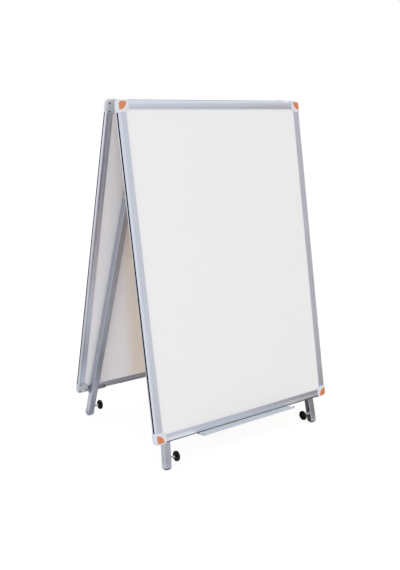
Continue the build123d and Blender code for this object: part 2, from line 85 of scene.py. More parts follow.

# Cards that lie just over the floor, glowing in painted shades darker than the white floor, for
# its shadow round the easel, that only reflections show: left, front, height, width, depth and shade
FLOOR_CARDS = {
    "left_strip_card": (-0.36, -0.50, 0.002, 0.20, 0.19, (0.34, 0.31, 0.30)),
    "right_strip_card": (0.32, -0.50, 0.002, 0.50, 0.19, (0.08, 0.05, 0.04)),
    "front_under_card": (-0.36, -0.20, 0.004, 0.38, 0.10, (0.70, 0.72, 0.76)),
    "middle_under_card": (-0.33, -0.10, 0.004, 0.35, 0.12, (0.28, 0.25, 0.24)),
    "left_under_card": (-0.36, 0.02, 0.004, 0.16, 0.12, (0.80, 0.82, 0.86)),
    "corner_under_card": (-0.33, 0.14, 0.004, 0.13, 0.21, (0.44, 0.44, 0.45)),
    "rear_under_card": (-0.20, 0.02, 0.004, 0.22, 0.33, (0.22, 0.20, 0.19)),
    "right_under_card": (0.02, -0.20, 0.004, 0.70, 0.53, (0.09, 0.08, 0.07)),
    "leg_under_card": (0.22, -0.245, 0.003, 0.50, 0.05, (0.06, 0.06, 0.06)),
    "right_floor_card": (0.52, -1.25, 0.002, 2.1, 0.75, (0.02, 0.02, 0.02)),
    "near_floor_card": (-0.33, -2.2, 0.002, 0.85, 1.25, (0.27, 0.27, 0.25)),
    "far_floor_card": (0.52, -2.2, 0.002, 2.1, 0.95, (0.80, 0.66, 0.45)),
    "left_floor_card": (-2.6, -0.1, 0.002, 2.08, 2.4, (0.64, 0.62, 0.57)),
}
# Cards that stand on the floor, glowing in painted shades of a darker room that only reflections
# show: lower corner, lower side and shade
STANDING_CARD_HEIGHT = 2.8
STANDING_CARDS = {
    "right_card": ((2.4, -3.2, 0), (3.2, 0, 0), (0.57, 0.51, 0.46)),
    "far_card": ((3.2, -1.5, 0), (0, 6.0, 0), (0.82, 0.74, 0.71)),
}
cad_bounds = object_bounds()
joints = {joint["name"]: joint for joint in frame["joints"]}
mounts = {mount["name"]: mount for mount in frame["record"]["mounts"]}


# Settings

def colour(name, description, default):
    """A colour that the user can change."""
    return FloatVectorProperty(
        name=name, description=description, default=default, subtype="COLOR", size=3, min=0, max=1
    )


def length(name, description, default):
    """A length in metres that the user can change."""
    return FloatProperty(name=name, description=description, default=default, unit="LENGTH", min=0)


def share(name, description, default):
    """A share of a brightness or a size that the user can change."""
    return FloatProperty(name=name, description=description, default=default, min=0)


def angle(name, description, degrees):
    """An angle that the user can change."""
    default = radians(degrees)
    return FloatProperty(name=name, description=description, default=default, subtype="ANGLE")


def pixels(name, description, default):
    """A length in the picture that the user can change."""
    return FloatProperty(name=name, description=description, default=default, subtype="PIXEL")


class EaselFinishes(bpy.types.PropertyGroup):
    """Colours of the easel's materials."""

    frame_metal: colour("Frame", "Satin anodised aluminium of the frames", (0.66, 0.70, 0.80))
    leg_metal: colour("Legs", "Grey aluminium of the outer leg tubes", (0.48, 0.51, 0.58))
    inner_metal: colour("Inner Tubes", "Brushed aluminium of the sliding tubes", (0.62, 0.63, 0.66))
    cap_plastic: colour("Corner Caps", "Pale plastic of the corner caps", (0.70, 0.72, 0.79))
    badge_plastic: colour("Badges", "Orange plastic of the corner badges", (0.66, 0.215, 0.08))
    enamel: colour("Enamel", "White enamel of the writing sheets", (0.83, 0.85, 0.88))
    backing: colour("Backing", "Coated foil on the back of the boards", (0.963, 0.948, 0.975))
    # Painted warm light: the shade the foil takes far from the boards' upright edges
    backing_painted_warmth: colour("Backing Middle", "Foil, far from its upright edges", (0.92, 0.82, 0.74))
    core: colour("Core", "Fibreboard inside the boards", (0.52, 0.42, 0.29))
    tray_coat: colour("Trays", "Powder coat of the pen trays", (0.64, 0.71, 0.86))
    tray_plastic: colour("Tray Ends", "Grey plastic of the tray ends", (0.52, 0.55, 0.60))
    bracket_plastic: colour("Brackets", "Grey nylon of the brackets", (0.27, 0.26, 0.29))
    black_plastic: colour("Knobs", "Black plastic of the knobs and plugs", (0.004, 0.004, 0.005))
    rubber: colour("Feet", "Black rubber of the feet", (0.008, 0.008, 0.008))
    dark_steel: colour("Dark Screws", "Blackened steel of the screws", (0.025, 0.025, 0.03))
    dull_steel: colour("Bracket Screws", "Dull steel of the brackets' screws", (0.28, 0.28, 0.29))
    bright_steel: colour("Bright Steel", "Zinc plate of studs, pins and rivets", (0.72, 0.72, 0.73))


class EaselHardware(bpy.types.PropertyGroup):
    """Sizes of the screws, badges, knobs and studs."""

    recess_width: length("Recess Width", "Width of each arm of a screw's cross recess", 0.9 * MM)
    recess_depth: length("Recess Depth", "Depth of a screw's cross recess", 0.8 * MM)
    recess_reach: share("Recess Reach", "Half the length of a recess, to the head's radius", 0.62)
    recess_taper: share("Recess Taper", "Size of a recess at its bottom, to its top", 0.8)
    head_rise: length("Head Rise", "How far a sunk screw head is domed", 0.35 * MM)
    thread_pitch: length("Thread Pitch", "Pitch of the clamp screws' thread", 1.0 * MM)
    thread_depth: length("Thread Depth", "Depth of the clamp screws' thread", 0.45 * MM)
    stud_chamfer: length("Stud Chamfer", "Chamfer of the clamp screws' ends", 0.4 * MM)
    grip_flutes: IntProperty(name="Flutes", description="Flutes round a knob", default=10, min=3)
    flute_depth: length("Flute Depth", "Depth of a knob's flutes", 1.0 * MM)
    badge_dome: length("Badge Dome", "How far a badge is domed", 0.5 * MM)
    badge_rim: length("Badge Rim", "Height of a badge's rounded rim", 0.5 * MM)
    grip_thickness: length("Grip Thickness", "Thickness of a knob's disc", 7.5 * MM)
    grip_edge: length("Grip Edge", "How far the edges of a knob's disc are rounded", 1.6 * MM)
    hub_radius: length("Hub Radius", "Radius of a knob's hub", 6.0 * MM)
    dish_start: length("Dish Start", "Inner radius of the hollow in a knob's back", 8.5 * MM)
    dish_end: length("Dish End", "Outer radius of the hollow in a knob's back", 12.5 * MM)
    dish_depth: length("Dish Depth", "Depth of the hollow in a knob's back", 3.0 * MM)
    ring_width: length("Ring Width", "Width of a face's sunk ring, and of its rim", 4.0 * MM)
    ring_depth: length("Ring Depth", "Depth of the sunk ring in a knob's face", 0.8 * MM)


class EaselPaintedLight(bpy.types.PropertyGroup):
    """Places and strengths of the painted shade and light on frames, foil, caps and trays."""

    slot_behind_face: length("Slot Place", "Middle of the frame's slot, behind its face", 7.1 * MM)
    slot_width: length("Slot Width", "Width of the frame's outer slot", 6.2 * MM)
    slot_depth: length("Slot Depth", "Depth of the frame's outer slot", 6.0 * MM)
    # Painted shade: the inside of the frame's slot is made nearly black
    slot_painted_shade: share("Slot Darkness", "How much darker the frame's outer slot is", 0.97)
    # The lip is where painted shade darkens the frame in front of its slot
    lip_width: length("Lip Width", "Width of the lip in front of the frame's outer slot", 4.8 * MM)
    frame_depth: length("Frame Depth", "Depth of the frame from its face to its back", 17.0 * MM)
    # Painted shade in the groove line on the frame's back
    back_line_from_edge: length("Back Line", "Line on the frame's back, from its edge", 7.0 * MM)
    back_line_width: length("Back Line Width", "Width of the line on the frame's back", 3.0 * MM)
    # Painted shade in the groove line on the frame's face
    line_from_edge: length("Line", "Outer line on the frame's face, from its outer edge", 13.0 * MM)
    line_width: length("Line Width", "Width of the line on the frame's face", 1.1 * MM)
    line_painted_shade: share("Line Dullness", "How much duller the frame's lines are", 0.25)
    band_from_edge: length("Band", "Start of the duller inner band, from the outer edge", 16.0 * MM)
    # Painted warm light on the foil, from these half widths, wider upwards
    painted_warmth_start: length("Warm Start", "Half width of the foil's warm middle", 195 * MM)
    painted_warmth_end: length("Warm End", "Half width at which the foil is no longer warm", 255 * MM)
    painted_warmth_slope: share("Warm Slope", "How much wider the foil's warm middle gets upwards", 0.18)
    # Painted shade: the caps' backs are darker than their faces
    cap_painted_shade_start: length("Cap Back Start", "Start of the caps' dull back, behind a sheet", 6 * MM)
    cap_painted_shade_end: length("Cap Back End", "Start of the caps' dullest part, behind a sheet", 12 * MM)
    cap_painted_shade_tone: share("Cap Back Tone", "Brightness of the caps' back, to their face", 0.78)
    # Painted light beside the board and painted shade at the outer lip of the trays
    tray_inner_painted_light: share("Tray Inner Tone", "Brightness of the trays beside the board", 1.40)
    tray_lip_painted_shade: share("Tray Lip Tone", "Brightness of the trays at their outer lip", 0.80)


class EaselStage(bpy.types.PropertyGroup):
    """The camera and the lights."""

    picture_width: pixels("Width", "Width of the picture", 400)
    picture_height: pixels("Height", "Height of the picture", 570)
    camera_place: FloatVectorProperty(
        name="Camera", description="Place of the camera", subtype="TRANSLATION", unit="LENGTH",
        size=3, default=(-1.496040, -1.959404, 1.122003),
    )
    camera_yaw: angle("Yaw", "Turn of the camera to the right of straight ahead", 37.352)
    camera_pitch: angle("Pitch", "Tilt of the camera above the horizon", -15.600)
    camera_roll: angle("Roll", "Turn of the camera about its own axis", 1.500)
    focal_pixels: pixels("Focal Length", "Focal length of the camera", 770.633)
    centre_x: pixels("Centre X", "Optical centre, from the left of the picture", 203.357)
    centre_y: pixels("Centre Y", "Optical centre, from the top of the picture", 297.614)
    key_strength: share("Key", "Strength of the soft sun", 0.50)
    key_direction: FloatVectorProperty(
        name="Key Direction", description="Which way the soft sun shines", subtype="DIRECTION",
        size=3, default=(0.62, 0.55, -0.56),
    )
    key_softness: angle("Softness", "Apparent width of the soft sun", 45)
    ambient: share("Ambient", "Strength of the even light", 0.98)
    left_tint: colour("Left Light", "Tint of the even light from the left", (0.86, 0.94, 1.0))
    right_tint: colour("Right Light", "Tint of the even light from the right", (1.0, 0.86, 0.73))
    tint_reach: share("Tint Reach", "How far to the side the tints are full, 1 being level", 0.6)
    floor_bounce: share("Floor Bounce", "Share of the light that the floor sends back", 0.9)
    floor_shade: share("Floor Shade", "Share of the seen floor that keeps the shadow", 0.25)
    floor_glow: share("Floor Glow", "Share of the seen floor that no shadow reaches", 0.82)


# Materials

def feed(tree, socket, value):
    """Give a socket a value, or link another node's output to it."""
    if isinstance(value, bpy.types.NodeSocket):
        tree.links.new(value, socket)
    else:
        socket.default_value = value


def add_node(tree, kind, inputs=None, **settings):
    """Add a node. An input is a value, or another node's output."""
    made = tree.nodes.new(kind)
    for name, value in settings.items():
        setattr(made, name, value)
    for name, value in (inputs or {}).items():
        feed(tree, made.inputs[name], value)
    return made


def new_material(name):
    """A material with a Principled shader, its node tree and the shader."""
    material = bpy.data.materials.new(name)
    material.use_nodes = True
    tree = material.node_tree
    return material, tree, tree.nodes["Principled BSDF"]


def set_shader(tree, shader, **inputs):
    """Set or link the shader's inputs, named with underscores for spaces."""
    for name, value in inputs.items():
        feed(tree, shader.inputs[name.replace("_", " ")], value)


def object_space(tree, grain, turn=(0, 0, 0)):
    """Object coordinates, turned and measured in grains of the sizes given, in metres."""
    place = add_node(tree, "ShaderNodeTexCoord").outputs["Object"]
    mapping = {"Vector": place, "Rotation": turn, "Scale": grain}
    return add_node(tree, "ShaderNodeMapping", mapping, vector_type="TEXTURE").outputs["Vector"]


def even_space(tree, grain):
    """Object coordinates measured in grains that are as long as they are wide."""
    return object_space(tree, (grain, grain, grain))


def noise(tree, space, detail=2.0):
    """Noise with features about one grain wide, more ragged with more detail."""
    inputs = {"Vector": space, "Scale": 1.0, "Detail": detail, "Roughness": NOISE_ROUGHNESS}
    return add_node(tree, "ShaderNodeTexNoise", inputs).outputs["Fac"]


def ramp(tree, value, start=0.0, end=1.0, low=0.0, high=1.0, **settings):
    """A value, mapped from the range from start to end to the range from low to high."""
    inputs = {"Value": value, "From Min": start, "From Max": end, "To Min": low, "To Max": high}
    return add_node(tree, "ShaderNodeMapRange", inputs, **settings).outputs["Result"]


def spread(tree, value, low, high):
    """Noise, most of whose values lie from 0.3 to 0.7, mapped to the range from low to high."""
    return ramp(tree, value, 0.3, 0.7, low, high)


def colour_mix(tree, factor, first, second):
    """A mix of two colours, each given as channels or as a node's output."""
    mix = add_node(tree, "ShaderNodeMix", {"Factor": factor}, data_type="RGBA")
    for name, value in (("A", first), ("B", second)):
        shade = value if isinstance(value, bpy.types.NodeSocket) else (*value, 1)
        feed(tree, mix.inputs[name], shade)
    return mix.outputs["Result"]


def tinted(tree, base, value, darkest, lightest):
    """A colour that varies with noise from a darker to a lighter share of its base."""
    factor = spread(tree, value, 0.0, 1.0)
    low = [channel * darkest for channel in base]
    high = [min(1, channel * lightest) for channel in base]
    return colour_mix(tree, factor, low, high)


def scaled(tree, tint, scale):
    """A colour made brighter or darker by a value."""
    inputs = {"Vector": tint, "Scale": scale}
    return add_node(tree, "ShaderNodeVectorMath", inputs, operation="SCALE").outputs["Vector"]


def bumped(tree, height, depth, strength, below=None):
    """A bump of a real depth, laid over another one if there is one."""
    inputs = {"Height": height, "Strength": strength, "Distance": depth}
    if below:
        inputs["Normal"] = below
    return add_node(tree, "ShaderNodeBump", inputs).outputs["Normal"]


def turn_along(direction):
    """The turn that carries Z to a direction."""
    along = Vector(direction).normalized()
    across = UP.cross(along)
    if across.length < NEARLY_NONE:
        across = Vector((0, 1, 0)).cross(along)
    across.normalize()
    rows = Matrix((across, along.cross(across), along))
    return rows.transposed()


def maths(tree, operation, *values):
    """A sum, product or comparison of values."""
    inputs = dict(enumerate(values))
    return add_node(tree, "ShaderNodeMath", inputs, operation=operation).outputs["Value"]


def board_coordinates(tree, place):
    """Coordinates in a board's own frame."""
    spot = add_node(tree, "ShaderNodeTexCoord").outputs["Object"]
    mapping = {"Vector": spot, "Location": place.translation, "Rotation": place.to_euler()}
    moved = add_node(tree, "ShaderNodeMapping", mapping, vector_type="TEXTURE").outputs["Vector"]
    return add_node(tree, "ShaderNodeSeparateXYZ", {"Vector": moved}).outputs


def frame_painted_light(tree, place, axis, half_span, face, tone, painted_light):
    """The brightness of a frame side, all painted light: painted shade makes its slot black and its
    lines and inner band duller, and a painted sheen brightens its outer band.

    The tone is the painted sheen of its outer band, the painted shade that dulls its inner band,
    and the painted shade that darkens the lip of its slot.
    """
    painted_sheen, painted_band_shade, painted_lip_shade = tone
    local = board_coordinates(tree, place)
    inward = maths(tree, "SUBTRACT", half_span, maths(tree, "ABSOLUTE", local[axis]))
    depth = maths(tree, "SUBTRACT", face, local["Z"])
    # Painted shade: the slot's inside is made nearly black
    slot = maths(tree, "COMPARE", depth, painted_light.slot_behind_face, (painted_light.slot_width + HAIR) / 2)
    slot = maths(tree, "MULTIPLY", slot, maths(tree, "LESS_THAN", inward, painted_light.slot_depth + HAIR))
    # Painted shade on the lip in front of the slot
    lip = maths(tree, "LESS_THAN", inward, painted_light.lip_width)
    lip = maths(tree, "MULTIPLY", lip, maths(tree, "LESS_THAN", depth, painted_light.slot_behind_face))
    # Painted shade in the face's groove line
    line = maths(tree, "COMPARE", inward, painted_light.line_from_edge, painted_light.line_width / 2)
    # Painted shade on the inner band
    band = maths(tree, "GREATER_THAN", inward, painted_light.band_from_edge)
    on_face = maths(tree, "LESS_THAN", depth, SKIN)
    band = maths(tree, "MULTIPLY", band, painted_band_shade)
    painted_dullness = maths(tree, "MULTIPLY_ADD", line, painted_light.line_painted_shade, band)
    painted_dullness = maths(tree, "MULTIPLY", painted_dullness, on_face)
    # Painted shade in the back's groove line
    back_line = maths(tree, "COMPARE", inward, painted_light.back_line_from_edge, painted_light.back_line_width / 2)
    on_back = maths(tree, "GREATER_THAN", depth, painted_light.frame_depth - HAIR)
    back_line = maths(tree, "MULTIPLY", back_line, on_back)
    painted_dullness = maths(tree, "MULTIPLY_ADD", back_line, painted_light.line_painted_shade, painted_dullness)
    lip = maths(tree, "MULTIPLY", lip, painted_lip_shade)
    shade = maths(tree, "MAXIMUM", lip, maths(tree, "MULTIPLY", slot, painted_light.slot_painted_shade))
    # Painted sheen: the outer band's brightness
    remains = maths(tree, "SUBTRACT", painted_sheen, painted_dullness)
    return maths(tree, "MULTIPLY", remains, maths(tree, "SUBTRACT", 1.0, shade))


def drawn_metal(name, base, direction, roughness, line=0.9 * MM, frame_side=None):
    """Extruded aluminium with a satin finish and fine lines along it.

    A frame side is the place, axis, reach, face, tone and settings that paint the frame's shade and sheen.
    """
    material, tree, shader = new_material(name)
    turn = turn_along(direction).to_euler()
    lines = noise(tree, object_space(tree, (line, line, 400 * MM), turn), detail=3.0)
    hairs = noise(tree, object_space(tree, (line / 4, line / 4, 60 * MM), turn))
    clouds = noise(tree, object_space(tree, (50 * MM, 50 * MM, 250 * MM), turn))
    tint = tinted(tree, base, lines, darkest=0.955, lightest=1.035)
    if frame_side:
        tint = scaled(tree, tint, frame_painted_light(tree, *frame_side))
    drawn_lines = bumped(tree, lines, depth=0.04 * MM, strength=0.5)
    set_shader(
        tree, shader,
        Base_Color=tint,
        Metallic=1.0,
        Roughness=spread(tree, clouds, low=roughness - 0.05, high=roughness + 0.05),
        Normal=bumped(tree, hairs, depth=0.02 * MM, strength=0.6, below=drawn_lines),
    )
    return material


def moulded_plastic(name, base, roughness, specular=0.5, back=None):
    """Injection moulded plastic with a fine eroded grain.

    A back is a board's place and the settings for painted shade on the back of what is on the board.
    """
    material, tree, shader = new_material(name)
    pits = noise(tree, even_space(tree, 0.35 * MM), detail=3.0)
    flow = noise(tree, even_space(tree, 12 * MM))
    tint = tinted(tree, base, flow, darkest=0.96, lightest=1.04)
    if back:
        # Painted shade on the back of the caps, from the given depths behind the sheet
        place, painted_light = back
        outward = board_coordinates(tree, place)["Z"]
        out_of_painted_shade = ramp(tree, outward, start=-painted_light.cap_painted_shade_end, end=-painted_light.cap_painted_shade_start)
        tint = colour_mix(tree, out_of_painted_shade, [channel * painted_light.cap_painted_shade_tone for channel in base], tint)
    set_shader(
        tree, shader,
        Base_Color=tint,
        Roughness=spread(tree, flow, low=roughness - 0.05, high=roughness + 0.06),
        Specular_IOR_Level=specular,
        Normal=bumped(tree, pits, depth=0.05 * MM, strength=0.5),
    )
    return material


def gloss_plastic(name, base):
    """Smooth coloured plastic with small flecks and a clear surface."""
    material, tree, shader = new_material(name)
    flecks = noise(tree, even_space(tree, 0.8 * MM), detail=3.0)
    waves = noise(tree, even_space(tree, 6 * MM))
    set_shader(
        tree, shader,
        Base_Color=tinted(tree, base, flecks, darkest=0.88, lightest=1.06),
        Roughness=spread(tree, flecks, low=0.26, high=0.36),
        Coat_Weight=0.35,
        Coat_Roughness=0.12,
        Normal=bumped(tree, waves, depth=0.05 * MM, strength=0.5),
    )
    return material


def powder_coat(name, base, place, reach, painted_light):
    """Pale powder coat with a fine orange peel: painted light by the board, painted shade to its lip."""
    material, tree, shader = new_material(name)
    clouds = noise(tree, object_space(tree, (40 * MM, 20 * MM, 20 * MM)))
    peel = noise(tree, even_space(tree, 1.2 * MM))
    # Painted light and shade: brighter beside the board, darker towards the outer lip
    outward = ramp(tree, board_coordinates(tree, place)["Z"], end=reach)
    inner = [min(1, channel * painted_light.tray_inner_painted_light) for channel in base]
    lip = [channel * painted_light.tray_lip_painted_shade for channel in base]
    tint = colour_mix(tree, outward, inner, lip)
    set_shader(
        tree, shader,
        Base_Color=scaled(tree, tint, spread(tree, clouds, low=0.97, high=1.0)),
        Roughness=spread(tree, clouds, low=0.42, high=0.52),
        Normal=bumped(tree, peel, depth=0.03 * MM, strength=0.5),
    )
    return material


def enamel(name, base):
    """Baked white enamel: a faint haze of erased ink and a slight orange peel."""
    material, tree, shader = new_material(name)
    haze = noise(tree, object_space(tree, (160 * MM, 50 * MM, 50 * MM)), detail=4.0)
    peel = noise(tree, even_space(tree, 3.5 * MM))
    set_shader(
        tree, shader,
        Base_Color=tinted(tree, base, haze, darkest=0.998, lightest=1.001),
        Roughness=spread(tree, haze, low=0.295, high=0.305),
        Coat_Weight=0.25,
        Coat_Roughness=0.18,
        Normal=bumped(tree, peel, depth=0.015 * MM, strength=0.5),
    )
    return material


def coated_foil(name, base, painted_warmth_shade, place, painted_light):
    """Thin coated sheet, a stucco of shallow dimples, with painted warm light away from its upright edges."""
    material, tree, shader = new_material(name)
    dimples = noise(tree, even_space(tree, 2.2 * MM))
    clouds = noise(tree, object_space(tree, (120 * MM, 120 * MM, 200 * MM)), detail=3.0)
    local = board_coordinates(tree, place)
    # Painted warm light: the foil turns to the warm shade far from its upright edges, wider upwards
    sideways = maths(tree, "ABSOLUTE", local["X"])
    sideways = maths(tree, "MULTIPLY_ADD", local["Y"], -painted_light.painted_warmth_slope, sideways)
    widths = {"start": painted_light.painted_warmth_end, "end": painted_light.painted_warmth_start}
    warm = ramp(tree, sideways, **widths, interpolation_type="SMOOTHSTEP")
    tint = colour_mix(tree, warm, base, painted_warmth_shade)
    set_shader(
        tree, shader,
        Base_Color=scaled(tree, tint, spread(tree, clouds, low=0.96, high=1.0)),
        Roughness=spread(tree, dimples, low=0.34, high=0.46),
        Normal=bumped(tree, dimples, depth=0.05 * MM, strength=0.5),
    )
    return material


def fibreboard(name, base):
    """Pressed fibres, seen only where a board is taken apart."""
    material, tree, shader = new_material(name)
    fibres = noise(tree, object_space(tree, (0.6 * MM, 4 * MM, 2 * MM)), detail=5.0)
    set_shader(
        tree, shader,
        Base_Color=tinted(tree, base, fibres, darkest=0.7, lightest=1.2),
        Roughness=spread(tree, fibres, low=0.75, high=0.9),
        Normal=bumped(tree, fibres, depth=0.2 * MM, strength=0.6),
    )
    return material


def plated_steel(name, base, roughness, darkest=0.9):
    """Plated or blackened steel, a little uneven."""
    material, tree, shader = new_material(name)
    patches = noise(tree, even_space(tree, 1.5 * MM), detail=4.0)
    set_shader(
        tree, shader,
        Base_Color=tinted(tree, base, patches, darkest, lightest=1.05),
        Metallic=1.0,
        Roughness=spread(tree, patches, low=roughness - 0.06, high=roughness + 0.08),
        Normal=bumped(tree, patches, depth=0.02 * MM, strength=0.4),
    )
    return material


def moulded_rubber(name, base):
    """Dull rubber with dust in its pores."""
    material, tree, shader = new_material(name)
    pores = noise(tree, even_space(tree, 0.5 * MM), detail=4.0)
    dust = noise(tree, object_space(tree, (7 * MM, 7 * MM, 4 * MM)), detail=3.0)
    set_shader(
        tree, shader,
        Base_Color=tinted(tree, base, dust, darkest=0.8, lightest=1.9),
        Roughness=spread(tree, dust, low=0.6, high=0.85),
        Normal=bumped(tree, pores, depth=0.1 * MM, strength=0.6),
    )
    return material


def dress(node, material):
    """Give a node of the frame its material."""
    for slot in frame["nodes"][node].material_slots:
        slot.material = material


# Places on the easel

def board_place(board):
    """A board's own frame: X across it, Y up it, Z out of its writing side."""
    face = mounts[f"{board}_writing_face"]
    outward = Vector(face["axis"]).normalized()
    across = Vector((-1 if outward.y > 0 else 1, 0, 0))
    up = outward.cross(across)
    turn = Matrix((across, up, outward)).transposed()
    return Matrix.Translation(face["pos_m"]) @ turn.to_4x4()


def corners_of(node, place):
    """The corners of a node, in the frame of a place."""
    into = place.inverted()
    return [into @ vert.co for vert in frame["nodes"][node].data.vertices]


def solids(node, place):
    """The corners of each separate solid of a node, in the frame of a place."""
    into = place.inverted()
    mesh = bmesh.new()
    mesh.from_mesh(frame["nodes"][node].data)
    bmesh.ops.remove_doubles(mesh, verts=mesh.verts, dist=1e-6)
    waiting = set(mesh.verts)
    found = []
    while waiting:
        group = {min(waiting, key=lambda vert: vert.index)}
        edge_of_group = set(group)
        while edge_of_group:
            near = {edge.other_vert(vert) for vert in edge_of_group for edge in vert.link_edges}
            edge_of_group = near - group
            group |= near
        waiting -= group
        found.append([into @ vert.co for vert in sorted(group, key=lambda vert: vert.index)])
    mesh.free()
    return found


def middle(points):
    """The middle of a solid's box and half its size, in the frame that its corners are given in."""
    low = Vector([min(point[axis] for point in points) for axis in range(3)])
    high = Vector([max(point[axis] for point in points) for axis in range(3)])
    return (low + high) / 2, (high - low) / 2


# Meshes

def new_object(mesh, name, material):
    """Make an object of a mesh, with its material."""
    data = bpy.data.meshes.new(name)
    mesh.to_mesh(data)
    mesh.free()
    data.materials.append(material)
    made = bpy.data.objects.new(name, data)
    bpy.context.scene.collection.objects.link(made)
    return made


def finish_piece(mesh, name, material, body, replaced):
    """Make a smooth object of a mesh, with its material and body, in place of nodes of the frame."""
    bmesh.ops.recalc_face_normals(mesh, faces=mesh.faces)
    piece = new_object(mesh, name, material)
    piece.data.shade_smooth()
    piece.data.set_sharp_from_angle(angle=radians(35))
    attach(piece, body)
    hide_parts(*replaced)


def turned_form(mesh, profile, place, segments, flutes=0, flute_depth=0.0):
    """Turn a profile about Z, and close its ends.

    Each step is a radius, a height and, where there are flutes, the share of their depth.
    """
    radius, height = profile[0][:2]
    made = bmesh.ops.create_circle(mesh, cap_ends=True, segments=segments, radius=radius)
    verts = made["verts"]
    bmesh.ops.translate(mesh, verts=verts, vec=(0, 0, height))
    face = verts[0].link_faces[0]
    everything = list(verts)
    for step in profile[1:]:
        radius, height = step[:2]
        fluted = step[2] if len(step) > 2 else 0
        face = bmesh.ops.extrude_discrete_faces(mesh, faces=[face])["faces"][0]
        for vert in face.verts:
            ray = Vector((vert.co.x, vert.co.y, 0)).normalized()
            turn = ray.to_2d().angle_signed(Vector((1, 0)), 0.0)
            groove = max(0.0, cos(flutes * turn)) ** 2 if flutes else 0.0
            vert.co = ray * (radius - fluted * flute_depth * groove)
            vert.co.z = height
        everything += list(face.verts)
    bmesh.ops.transform(mesh, matrix=place, verts=everything)


def cross_head(mesh, place, radius, height, shank_radius, shank_length, sizes):
    """A screw: a domed head with a cross recess, and its shank. Z points out of the head."""
    reach = sizes.recess_reach * radius
    half_width = sizes.recess_width / 2
    grid = bmesh.ops.create_grid(mesh, x_segments=5, y_segments=5, size=radius)["verts"]
    steps = sorted({round(vert.co.x, 7) for vert in grid})
    moved = dict(zip(steps, (-radius, -reach, -half_width, half_width, reach, radius)))
    for vert in grid:
        vert.co.x = moved[round(vert.co.x, 7)]
        vert.co.y = moved[round(vert.co.y, 7)]
    rim = [vert for vert in grid if vert.is_boundary]
    for vert in rim:
        vert.co = vert.co.normalized() * radius
    for vert in grid:
        vert.co.z = height + sizes.head_rise * (1 - (vert.co.length / radius) ** 2)
    faces = {face for vert in grid for face in vert.link_faces}
    cross = []
    for face in faces:
        spot = face.calc_center_median()
        near, far = sorted((abs(spot.x), abs(spot.y)))
        if near < half_width and far < reach:
            cross.append(face)
    cut = bmesh.ops.extrude_face_region(mesh, geom=cross)["geom"]
    sunk = [item for item in cut if isinstance(item, bmesh.types.BMVert)]
    bmesh.ops.scale(mesh, vec=(sizes.recess_taper, sizes.recess_taper, 1), verts=sunk)
    bmesh.ops.translate(mesh, vec=(0, 0, -sizes.recess_depth), verts=sunk)
    bmesh.ops.delete(mesh, geom=[face for face in cross if face.is_valid], context="FACES_ONLY")
    loop = {edge for vert in rim for edge in vert.link_edges if edge.is_boundary}
    everything = set(grid) | set(sunk)
    for new_radius, new_height in ((radius, 0), (shank_radius, 0), (shank_radius, -shank_length)):
        made = bmesh.ops.extrude_edge_only(mesh, edges=list(loop))["geom"]
        fresh = [item for item in made if isinstance(item, bmesh.types.BMVert)]
        for vert in fresh:
            vert.co = Vector((vert.co.x, vert.co.y, 0)).normalized() * new_radius
            vert.co.z = new_height
        loop = {item for item in made if isinstance(item, bmesh.types.BMEdge) and item.is_boundary}
        everything |= set(fresh)
    bmesh.ops.contextual_create(mesh, geom=list(loop))
    bmesh.ops.transform(mesh, matrix=place, verts=list(everything))


# Operators

class EASEL_OT_stage(bpy.types.Operator):
    """Set up the camera, the lights and the floor"""

    bl_idname = "easel.stage"
    bl_label = "Stage"

    def execute(self, context):
        add_camera(context.scene.easel_stage)
        add_world(context.scene.easel_stage)
        add_lamps(context.scene.easel_stage)
        add_cards()
        add_floor(context.scene.easel_stage)
        context.scene.view_settings.view_transform = "Standard"
        return {"FINISHED"}


def add_camera(settings):
    """The camera, from its place, its turns and the picture's optical centre."""
    width, height = settings.picture_width, settings.picture_height
    yaw, pitch, roll = settings.camera_yaw, settings.camera_pitch, settings.camera_roll
    forward = Vector((sin(yaw) * cos(pitch), cos(yaw) * cos(pitch), sin(pitch)))
    right = Vector((cos(yaw), -sin(yaw), 0))
    above = right.cross(forward)
    camera_x = right * cos(roll) + above * sin(roll)
    camera_y = above * cos(roll) - right * sin(roll)
    data = bpy.data.cameras.new("camera")
    data.lens = settings.focal_pixels * data.sensor_width / height
    data.shift_x = (width / 2 - settings.centre_x) / height
    data.shift_y = (settings.centre_y - height / 2) / height
    camera = bpy.data.objects.new("camera", data)
    turn = Matrix((camera_x, camera_y, -forward)).transposed()
    camera.matrix_world = Matrix.Translation(settings.camera_place) @ turn.to_4x4()
    bpy.context.scene.collection.objects.link(camera)
    bpy.context.scene.camera = camera


def seen_directly(tree):
    """1 for camera, glossy and transmission rays, 0 for the rest."""
    path = add_node(tree, "ShaderNodeLightPath")
    total = path.outputs["Is Camera Ray"]
    for ray in ("Is Glossy Ray", "Is Transmission Ray"):
        total = maths(tree, "MAXIMUM", total, path.outputs[ray])
    return total


def add_world(settings):
    """Even light, cooler from the left and warmer from the right, with a white background."""
    world = bpy.data.worlds.new("studio")
    world.use_nodes = True
    tree = world.node_tree
    background = tree.nodes["Background"]
    direct = seen_directly(tree)
    strength = ramp(tree, direct, low=settings.ambient, high=1.0)
    direction = add_node(tree, "ShaderNodeTexCoord").outputs["Generated"]
    sideways = add_node(tree, "ShaderNodeSeparateXYZ", {"Vector": direction}).outputs["X"]
    rightward = ramp(tree, sideways, start=-settings.tint_reach, end=settings.tint_reach)
    tint = colour_mix(tree, rightward, settings.left_tint, settings.right_tint)
    shown = colour_mix(tree, direct, tint, (1, 1, 1))
    tree.links.new(shown, background.inputs["Color"])
    tree.links.new(strength, background.inputs["Strength"])
    bpy.context.scene.world = world


